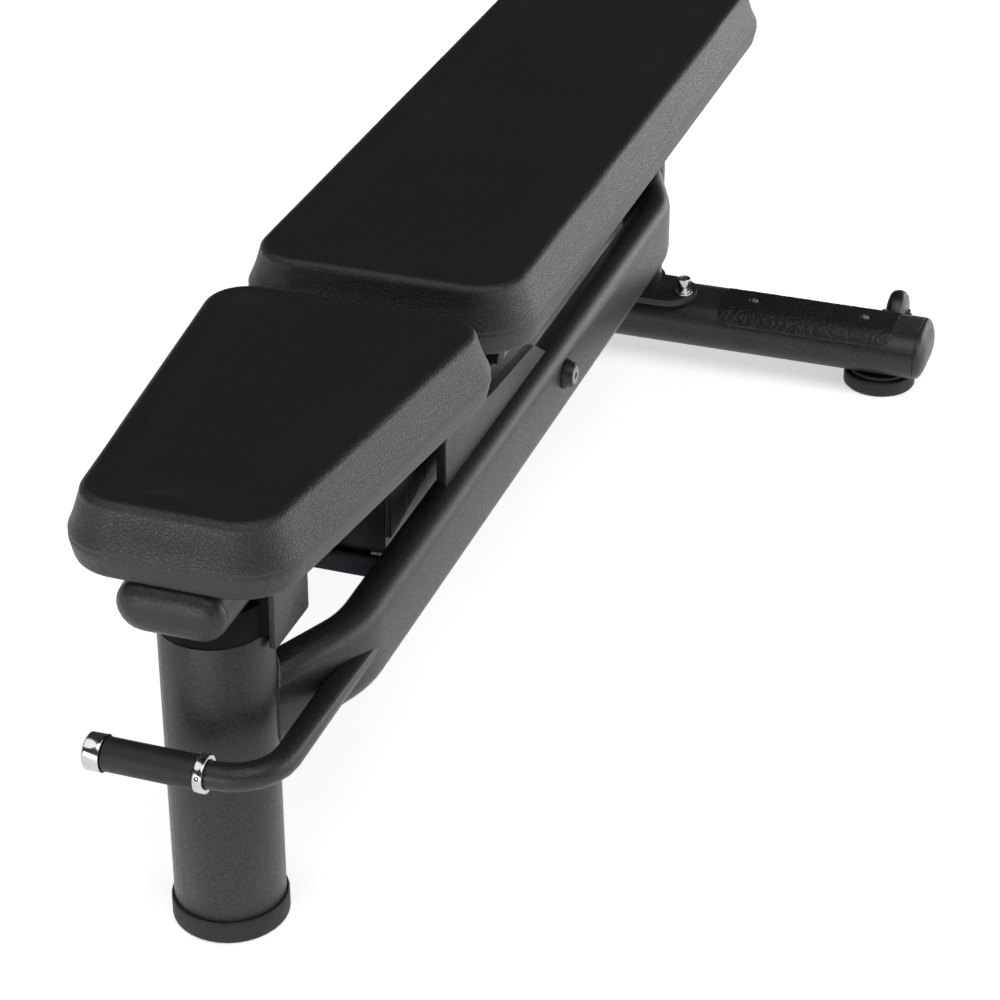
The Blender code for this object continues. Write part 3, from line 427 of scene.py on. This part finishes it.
def make_finishes():
    brushed = (40, 900, 900)
    return {
        "paint": powder_coat("powder_coat"),
        "leather": leatherette("leatherette"),
        "foot": rubber("foot_rubber", (0.010, 0.010, 0.0105), 0.62, 600),
        "grip": rubber("grip_rubber", (0.008, 0.008, 0.0085), 0.55, 1100),
        "step": rubber("step_rubber", (0.010, 0.010, 0.0105), 0.46, 420),
        "wheel": moulded("wheel_plastic", (0.009, 0.009, 0.0095), 0.38),
        # painted shade: the cradle's nylon is darker and duller than the other black parts, standing in for
        # the deep shade between the seat tube and the ears
        "painted_shade_slider": moulded("nylon_slider_painted_shade", (0.003, 0.003, 0.003), 0.75, 0.12),
        "chrome": plated("chrome_plate", (0.50, 0.505, 0.52), 0.10, 0.20),
        "zinc": plated("zinc_plate", (0.24, 0.245, 0.255), 0.30, 0.44, brushed),
        # painted light: the step screws' zinc is a mostly non-metal grey, so they look lit where plated
        # metal would mirror the dark surroundings
        "step_zinc_painted_light": plated("step_zinc_plate_painted_light", (0.22, 0.22, 0.225), 0.44, 0.56, brushed, 0.15),
        # painted reflection: the rack plates get a near-white, mostly non-metal colour, standing in for the
        # light that satin zinc would reflect
        "rack_zinc_painted_light": plated("rack_zinc_plate_painted_light", (0.76, 0.76, 0.785), 0.36, 0.50, brushed, 0.2),
        "dark_steel": plated("dark_steel", (0.016, 0.017, 0.020), 0.26, 0.38, (60, 900, 900)),
        # painted shade: the rail and its front plate are near-black, darker than the paint, standing in for
        # the shade in the recess under the seat
        "web_painted_shade": striped_steel("web_steel_painted_shade", (0.0055, 0.0062, 0.0085)),
        "board": particle_board("particle_board"),
    }


NODE_FINISHES = {
    "foot": ["front_foot", "rear_foot_right", "rear_foot_left", "backrest_rest"],
    # the cradle gets the slider finish with its painted shade
    "painted_shade_slider": ["seat_guide_cradle"],
    "grip": ["handle_grip"],
    "wheel": ["transport_wheel_right", "transport_wheel_left"],
    "chrome": ["handle_collar", "handle_end_cap", "flange_screw_right", "flange_screw_left"],
    "zinc": [
        "boss_screw_right", "boss_screw_left", "backrest_axle",
        "wheel_axle_right", "wheel_axle_left", "prop", "prop_pivot_pin",
    ],
    # the step screws get the zinc copy with painted light
    "step_zinc_painted_light": [
        "step_screw_right_1", "step_screw_right_2", "step_screw_left_1", "step_screw_left_2",
    ],
    "dark_steel": ["front_cross_plate", "rear_cross_plate", "rack_tray"],
    # the rail and its front plate get the web finish with its painted shade
    "web_painted_shade": ["rail_front_plate", "seat_rail"],
    # the rack plates get the zinc copy with painted reflection
    "rack_zinc_painted_light": ["rack_plate_right", "rack_plate_left"],
    "board": ["seat_board", "back_board"],
}


def dress_cad(finishes):
    """Each CAD node that shows gets its finish, and its outer edges a small radius."""
    finish_of = {node: key for key, members in NODE_FINISHES.items() for node in members}
    for name, obj in nodes.items():
        if obj.hide_render:
            continue
        obj.data.materials.clear()
        obj.data.materials.append(finishes[finish_of.get(name, "paint")])
        for polygon in obj.data.polygons:
            polygon.use_smooth = True
            polygon.material_index = 0
        weld = obj.modifiers.new("weld", "WELD")
        weld.merge_threshold = 1e-5
        edge = obj.modifiers.new("edge", "BEVEL")
        edge.width = EDGE_RADIUS
        edge.segments = 2
        edge.limit_method = "ANGLE"
        edge.angle_limit = EDGE_ANGLE
        edge.harden_normals = True
        edge.use_clamp_overlap = True


# ---------------------------------------------------------------- mesh helpers


def new_object(name, mesh, finish, smooth=True):
    """An object from a bmesh, which is used up."""
    data = bpy.data.meshes.new(name)
    bmesh.ops.recalc_face_normals(mesh, faces=mesh.faces)
    mesh.to_mesh(data)
    mesh.free()
    if smooth:
        data.shade_smooth()
        data.set_sharp_from_angle(angle=SMOOTH_ANGLE)
    data.materials.append(finish)
    made = bpy.data.objects.new(name, data)
    scene.collection.objects.link(made)
    return made


def join_rings(mesh, first, second, steps):
    count = len(first)
    for index in range(steps):
        after = (index + 1) % count
        mesh.faces.new((first[index], first[after], second[after], second[index]))


def skin(mesh, rings, closed_rows=True):
    """Quads through rows of points. Rows close on themselves unless told otherwise."""
    made = [[mesh.verts.new(point) for point in ring] for ring in rings]
    steps = len(made[0]) if closed_rows else len(made[0]) - 1
    for first, second in zip(made, made[1:]):
        join_rings(mesh, first, second, steps)
    return made


def ring_of_points(centre, across, up, radius, sides):
    ring = []
    for step in range(sides):
        angle = math.tau * step / sides
        ring.append(centre + (across * math.cos(angle) + up * math.sin(angle)) * radius)
    return ring


def tube_round(path, radii, sides):
    """Closed skin round a looped path of points, one radius for each."""
    mesh = bmesh.new()
    rings = []
    for index, point in enumerate(path):
        forward = (path[(index + 1) % len(path)] - path[index - 1]).normalized()
        if index == 0:
            side = forward.orthogonal().normalized()
        else:
            side = (side - forward * side.dot(forward)).normalized()
        rings.append(ring_of_points(point, side, forward.cross(side), radii[index], sides))
    made = skin(mesh, rings)
    join_rings(mesh, made[-1], made[0], sides)
    return mesh


def loop_lengths(points):
    """The lengths of a closed loop's sides."""
    return [(after - before).length for before, after in zip(points, points[1:] + points[:1])]


def resample(points, count):
    """Evenly spaced points along a closed loop."""
    lengths = loop_lengths(points)
    total = sum(lengths)
    out, index, passed = [], 0, 0.0
    for step in range(count):
        along = total * step / count
        while index < len(lengths) - 1 and passed + lengths[index] < along:
            passed += lengths[index]
            index += 1
        t = (along - passed) / lengths[index]
        out.append(points[index].lerp(points[(index + 1) % len(points)], t))
    return out


def smoothstep(low, high, value):
    t = min(1.0, max(0.0, (value - low) / (high - low)))
    return t * t * (3 - 2 * t)


# ---------------------------------------------------------------- cushions


def rounded_outline(corners, inset):
    """A convex polygon (x, y, corner radius), drawn in by an inset, as points round its corners."""
    points = []
    for index, (x, y, radius) in enumerate(corners):
        before = Vector((x, y)) - Vector(corners[index - 1][:2])
        after = Vector(corners[(index + 1) % len(corners)][:2]) - Vector((x, y))
        turn = -before.angle_signed(after)
        inward = Vector((-before.y, before.x)).normalized()
        back = before.normalized() * (radius * math.tan(turn / 2))
        centre = Vector((x, y)) - back + inward * radius
        start = math.atan2(before.y, before.x) - math.pi / 2
        for step in range(PAD_CORNER_STEPS + 1):
            angle = start + turn * step / PAD_CORNER_STEPS
            points.append(centre + Vector((math.cos(angle), math.sin(angle))) * (radius - inset))
    return points


def cushion_levels(shrink, top_drop):
    """(inset, height) from the base's edge up to the edge of the flat top."""
    shoulder = PAD_THICKNESS - PAD_ROUNDING - top_drop
    levels = [(PAD_TUCK + 0.010, 0.0), (PAD_TUCK + 0.002, 0.0), (PAD_TUCK, 0.0015)]
    for height in PAD_SEAM_LEVELS:
        levels.append((max(0.0, PAD_TUCK * (1 - height / PAD_TUCK_TOP)), height))
    side_start = PAD_SEAM_LEVELS[-1]
    for step in range(1, PAD_SIDE_STEPS + 1):
        t = step / PAD_SIDE_STEPS
        levels.append((PAD_LEAN * t, side_start + (shoulder - side_start) * t))
    for step in range(1, PAD_ROUNDING_STEPS + 1):
        angle = math.radians(90 * step / PAD_ROUNDING_STEPS)
        inset = PAD_LEAN + PAD_ROUNDING * (1 - math.cos(angle))
        levels.append((inset, shoulder + PAD_ROUNDING * math.sin(angle)))
    return [(inset + shrink, height) for inset, height in levels]


def cushion_mesh(corners, base_z, shrink, top_drop):
    """Closed cushion: rings up its side, then rings that close in on a line along the top's middle."""
    half = min(abs(corners[0][0]), abs(corners[2][0]))
    spine = (corners[0][1] + half * 0.9, corners[2][1] - half * 0.9)

    def middles(ring):
        """The nearest point of the middle line for each point of a ring."""
        return [Vector((0, min(max(point.y, spine[0]), spine[1]), point.z)) for point in ring]

    count = max(24, round(sum(loop_lengths(rounded_outline(corners, 0.0))) / PAD_SPACING))
    rings = []
    for inset, height in cushion_levels(shrink, top_drop):
        ring = resample(rounded_outline(corners, inset), count)
        rings.append([Vector((x, y, base_z + height)) for x, y in ring])
    base, edge = rings[0], rings[-1]
    bottom = [[middle.lerp(point, t) for middle, point in zip(middles(base), base)] for t in (0.0, 0.5)]
    for step in range(1, PAD_TOP_RINGS + 1):
        t = step / PAD_TOP_RINGS
        rings.append([point.lerp(middle, t) for middle, point in zip(middles(edge), edge)])
    mesh = bmesh.new()
    skin(mesh, bottom + rings)
    bmesh.ops.remove_doubles(mesh, verts=mesh.verts, dist=2e-5)
    return mesh


def simulate_swelling(name, mesh, base_z, voxel):
    """How far each point of an even copy moves as air pressure swells it, with its base held."""
    source = new_object(name + "_source", mesh, None, smooth=False)
    remesh = source.modifiers.new("remesh", "REMESH")
    remesh.mode = "VOXEL"
    remesh.voxel_size = voxel
    even = bpy.data.meshes.new_from_object(source.evaluated_get(bpy.context.evaluated_depsgraph_get()))
    bpy.data.objects.remove(source)
    puffed = bpy.data.objects.new(name + "_swelling", even)
    scene.collection.objects.link(puffed)
    start = [vertex.co.copy() for vertex in even.vertices]
    held = puffed.vertex_groups.new(name="held")
    low, high = PAD_SEAM_HEIGHT - 0.004, PAD_SEAM_HEIGHT + 0.006
    for index, point in enumerate(start):
        held.add([index], 1.0 - smoothstep(low, high, point.z - base_z), "REPLACE")
    cloth = puffed.modifiers.new("cloth", "CLOTH")
    settings = cloth.settings
    settings.quality = 5
    settings.mass = 0.3
    settings.tension_stiffness = 30
    settings.compression_stiffness = 30
    settings.bending_stiffness = 1.5
    settings.use_pressure = True
    settings.uniform_pressure_force = SWELL_PRESSURE
    settings.vertex_group_mass = "held"
    settings.effector_weights.gravity = 0
    cloth.collision_settings.use_collision = False
    for step in range(1, SWELL_FRAMES + 1):
        scene.frame_set(step)
    evaluated = puffed.evaluated_get(bpy.context.evaluated_depsgraph_get())
    result = evaluated.to_mesh()
    moves = [result.vertices[index].co - start[index] for index in range(len(start))]
    evaluated.to_mesh_clear()
    scene.frame_set(1)
    bpy.data.objects.remove(puffed)
    return start, moves


def carried_moves(mesh, start, moves):
    """Each vertex of a cushion with the capped movement of the simulated points near it."""
    tree = kdtree.KDTree(len(start))
    for index, point in enumerate(start):
        tree.insert(point, index)
    tree.balance()
    moved = []
    for vertex in mesh.verts:
        total, weights = Vector(), 0.0
        for _, index, distance in tree.find_n(vertex.co, SWELL_NEIGHBOURS):
            weight = 1 / (distance + 0.001)
            total += moves[index] * weight
            weights += weight
        move = total / weights
        if move.length > SWELL_CAP:
            move = move.normalized() * SWELL_CAP
        moved.append((vertex, move))
    return moved


def edge_distance(point, corners):
    """How far a point is inside the sides of the cushion's outline, seen from above."""
    least = 1.0
    for index, (x, y, _) in enumerate(corners):
        first, second = Vector(corners[index - 1][:2]), Vector((x, y))
        along = (second - first).normalized()
        offset = Vector((point.x, point.y)) - first
        least = min(least, along.x * offset.y - along.y * offset.x)
    return least


def swell(moved, base_z, corners):
    """The sides take a small share of the movement, and the top rises by a limited amount."""
    for vertex, move in moved:
        height = vertex.co.z - base_z
        low_fade = smoothstep(PAD_SEAM_HEIGHT, 0.036, height)
        side_share = SWELL_SIDE_SHARE * low_fade * (1 - smoothstep(0.044, 0.056, height))
        inside = edge_distance(vertex.co, corners) - PAD_LEAN - PAD_ROUNDING
        rise = min(SWELL_CROWN, max(0.0, move.z)) * smoothstep(0.0, SWELL_EDGE_FADE, inside)
        vertex.co += Vector((move.x, move.y, 0)) * side_share + Vector((0, 0, rise))


def tailor(mesh, base_z, corners):
    """The seam's crease, small tucks round the corners, and the cover's faint unevenness."""
    front = corners[0][1]
    centres = []
    for x, y, radius in corners:
        inward = Vector((-math.copysign(radius, x), radius if y == front else -radius))
        centres.append((Vector((x, y)) + inward, radius))
    for vertex in mesh.verts:
        height = vertex.co.z - base_z
        if height > PAD_THICKNESS - 0.004 or height < 0.0012:
            continue
        flat = Vector((vertex.co.x, vertex.co.y))
        nearest, _ = min(centres, key=lambda item: (item[0] - flat).length)
        outward = flat - nearest
        at_corner = outward.x * nearest.x > 0 and outward.y * (nearest.y - front - 0.2) > 0
        push = -SEAM_DEPTH * math.exp(-(((height - PAD_SEAM_HEIGHT) / SEAM_WIDTH) ** 2))
        if at_corner and height < PAD_SEAM_HEIGHT:
            fade = smoothstep(0.001, 0.010, height) * smoothstep(0.001, 0.006, PAD_SEAM_HEIGHT - height)
            push += TUCK_DEPTH * math.sin(math.atan2(outward.y, outward.x) * TUCKS_PER_TURN) * fade
        ripple = noise.noise(Vector((vertex.co.x * 11, vertex.co.y * 11, height * 30)))
        push += COVER_RIPPLE * ripple * smoothstep(PAD_SEAM_HEIGHT, PAD_SEAM_HEIGHT + 0.012, height)
        direction = Vector((vertex.normal.x, vertex.normal.y, 0))
        if direction.length < 0.2:
            direction = Vector((outward.x, outward.y, 0))
        vertex.co += direction.normalized() * push


def make_cushion(name, node, body, corners, voxel, finishes):
    low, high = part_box(node)
    mesh = cushion_mesh(corners, low.z, 0.0, PAD_TOP_DROP)
    rough = cushion_mesh(corners, low.z, SWELL_START_SHRINK, SWELL_START_DROP)
    start, moves = simulate_swelling(name, rough, low.z, voxel)
    moved = carried_moves(mesh, start, moves)
    swell(moved, low.z, corners)
    tailor(mesh, low.z, corners)
    cushion = new_object(name, mesh, finishes["leather"])
    subdivide = cushion.modifiers.new("subdivision", "SUBSURF")
    subdivide.levels = 1
    subdivide.render_levels = 1
    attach(cushion, body)
    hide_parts(node)


def outline_corners(low, high, half_widths, radii):
    """A pad's four corners (x, y, corner radius), counter-clockwise from the front left one."""
    near, far = half_widths
    corners = [(-near, low.y, radii[0]), (near, low.y, radii[0])]
    return corners + [(far, high.y, radii[1]), (-far, high.y, radii[1])]


def make_cushions(finishes):
    corners = outline_corners(seat_low, seat_high, SEAT_HALF_WIDTHS, SEAT_CORNERS)
    make_cushion("seat_cushion", "seat_pad", "seat", corners, 0.005, finishes)
    low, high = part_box("back_pad")
    corners = outline_corners(low, high, (high.x, high.x), (BACK_CORNER, BACK_CORNER))
    make_cushion("back_cushion", "back_pad", "backrest", corners, 0.006, finishes)


# ---------------------------------------------------------------- step pads


def step_lift(point, thickness, edge):
    """Height of the sheet's pebbly, slightly wrinkled top, with its rim let down."""
    pebble = noise.noise(point * 430) * 0.7 + noise.noise(point * 250) * 0.5
    wrinkle = 1 - abs(noise.noise(Vector((point.x * 190, point.y * 330, point.z * 330))))
    relief = STEP_RELIEF * (1.15 * pebble + 0.40 * wrinkle ** 4 - 0.5)
    lift = thickness - STEP_UNDER
    if edge >= 1:
        return lift + min(0.0, relief - 0.0001)
    return lift - STEP_EDGE_DROP * (1 - edge) + min(0.0, relief)


def step_rows(low, high, screws):
    """Rows of points from the back edge round the tube's front, for the sheet's top and its under side."""
    tube_low, tube_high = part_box("base_tube")
    centre_z = (tube_low.z + tube_high.z) / 2
    tube_radius = (tube_high.z - tube_low.z) / 2
    front_y = tube_low.y + tube_radius
    thickness = high.z - tube_high.z
    sheet_radius = tube_radius + thickness
    flat = high.y - front_y
    wrapped = sheet_radius * STEP_LAST_ANGLE
    bottom_z = centre_z + sheet_radius * math.cos(STEP_LAST_ANGLE)
    round_z = high.z - 0.002  # below this the sheet's ends draw in
    columns, rows = STEP_GRID
    outer, inner = [], []
    for row in range(rows + 1):
        along = (flat + wrapped) * row / rows
        angle = max(0.0, along - flat) / sheet_radius
        y = front_y + flat - along if along < flat else front_y
        direction = Vector((0, -math.sin(angle), math.cos(angle)))
        base = Vector((0, y, centre_z)) + direction * (tube_radius + STEP_UNDER)
        depth = min(1.0, max(0.0, (round_z - (base.z + thickness)) / (round_z - bottom_z)))
        inset = STEP_CORNER * (1 - math.sqrt(max(0.0, 1 - depth * depth)))
        outer_row, inner_row = [], []
        for column in range(columns + 1):
            x = low.x + inset + (high.x - low.x - 2 * inset) * column / columns
            point = base + Vector((x, 0, 0))
            away = min((Vector((x, point.y)) - screw).length for screw in screws)
            if away < STEP_SCREW_HOLE and angle == 0:
                lift = STEP_SCREW_LIFT
            else:
                lift = step_lift(point, thickness, min(column, columns - column, row, rows - row) / 2.0)
            outer_row.append(point + direction * lift)
            inner_row.append(point + direction * 0.0001)
        outer.append(outer_row)
        inner.append(inner_row)
    return outer, inner


def grid_rim(grid):
    """The outer vertices of a grid, in order round it."""
    return grid[0] + [row[-1] for row in grid[1:-1]] + grid[-1][::-1] + [row[0] for row in grid[-2:0:-1]]


def make_step_pads(finishes):
    """Grip sheets over the base tube, with a wrinkled, pebbly top."""
    for name in ("right", "left"):
        node = f"step_pad_{name}"
        low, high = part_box(node)
        boxes = [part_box(f"step_screw_{name}_{index}") for index in (1, 2)]
        screws = [((first + last) / 2).to_2d() for first, last in boxes]
        outer, inner = step_rows(low, high, screws)
        mesh = bmesh.new()
        top = grid_rim(skin(mesh, outer, closed_rows=False))
        under = grid_rim(skin(mesh, inner, closed_rows=False))
        join_rings(mesh, top, under, len(top))
        pad = new_object(f"step_grip_{name}", mesh, finishes["step"])
        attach(pad, "frame")
        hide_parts(node)


# ---------------------------------------------------------------- welds and small fittings


def bead(name, path, finish, seed):
    """A weld bead: a lumpy half-sunk roll along a joint."""
    radii = []
    for index, point in enumerate(path):
        ripple = 0.12 * math.sin(index * 1.9) + 0.18 * noise.noise(point * 90 + Vector((seed, 0, 0)))
        radii.append(WELD_RADIUS * (1 + ripple))
    piece = new_object(name, tube_round(path, radii, WELD_SIDES), finish)
    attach(piece, "frame")


def beam_section(steps=14):
    """The beam's flat-oval outline, as (sideways, up) from its middle."""
    radius = BEAM_SIZE[0] / 2
    rise = BEAM_SIZE[1] / 2 - radius
    points = []
    for first_angle, middle in ((0.0, rise), (math.pi, -rise)):
        for step in range(steps + 1):
            angle = first_angle + math.pi * step / steps
            points.append((radius * math.cos(angle), middle + radius * math.sin(angle)))
    return points


def make_beam_welds(finishes):
    """Where each beam's end meets a post: the beam's outline, run along the beam to the post's skin."""
    turned_x, turned_y = math.cos(BEAM_BEND_ANGLE), math.sin(BEAM_BEND_ANGLE)
    for post, towards in (("front", 1), ("rear", -1)):
        low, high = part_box(f"{post}_post")
        axis_y = (low.y + high.y) / 2
        for name, side in (("right", 1), ("left", -1)):
            centre = Vector((
                side * (BEAM_X - BEAM_BEND_RADIUS + BEAM_BEND_RADIUS * turned_x),
                axis_y + towards * (BEAM_STRAIGHT_START - BEAM_BEND_RADIUS * turned_y),
                BEAM_MIDDLE_Z,
            ))
            across = Vector((side * turned_x, -towards * turned_y, 0))
            inward = Vector((-side * turned_y, -towards * turned_x, 0))
            path = []
            for sideways, up in beam_section():
                start = centre + across * sideways + Vector((0, 0, up))
                flat = Vector((start.x, start.y - axis_y))
                half = flat.dot(inward.to_2d())
                inside = half * half - (flat.length_squared - (POST_RADIUS + WELD_SINK) ** 2)
                if inside >= 0:
                    path.append(start + inward * (-half - math.sqrt(inside)))
            path = resample(path, max(4, round(sum(loop_lengths(path)) / WELD_SPACING)))
            bead(f"weld_{post}_post_{name}", path, finishes["paint"], side)


def make_collar_screw(finishes):
    """A small set screw with a hollow head, in the front of the handle's collar."""
    low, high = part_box("handle_collar")
    centre = (low + high) / 2
    collar_radius = (high.z - low.z) / 2
    out = Vector((0, -math.cos(SCREW_TILT), math.sin(SCREW_TILT)))
    across = Vector((1, 0, 0))
    up = out.cross(across)
    rings = []
    for radius, along in SCREW_PROFILE:
        middle = centre + out * (collar_radius + along)
        rings.append(ring_of_points(middle, across, up, radius, SCREW_SIDES))
    mesh = bmesh.new()
    made = skin(mesh, rings)
    mesh.faces.new(made[0])
    mesh.faces.new(made[-1])
    screw = new_object("collar_set_screw", mesh, finishes["dark_steel"])
    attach(screw, "frame")


def main():
    make_camera()
    make_lights()
    make_floor()
    finishes = make_finishes()
    make_cushions(finishes)
    make_step_pads(finishes)
    make_beam_welds(finishes)
    make_collar_screw(finishes)
    dress_cad(finishes)


main()
bpy.context.view_layer.update()
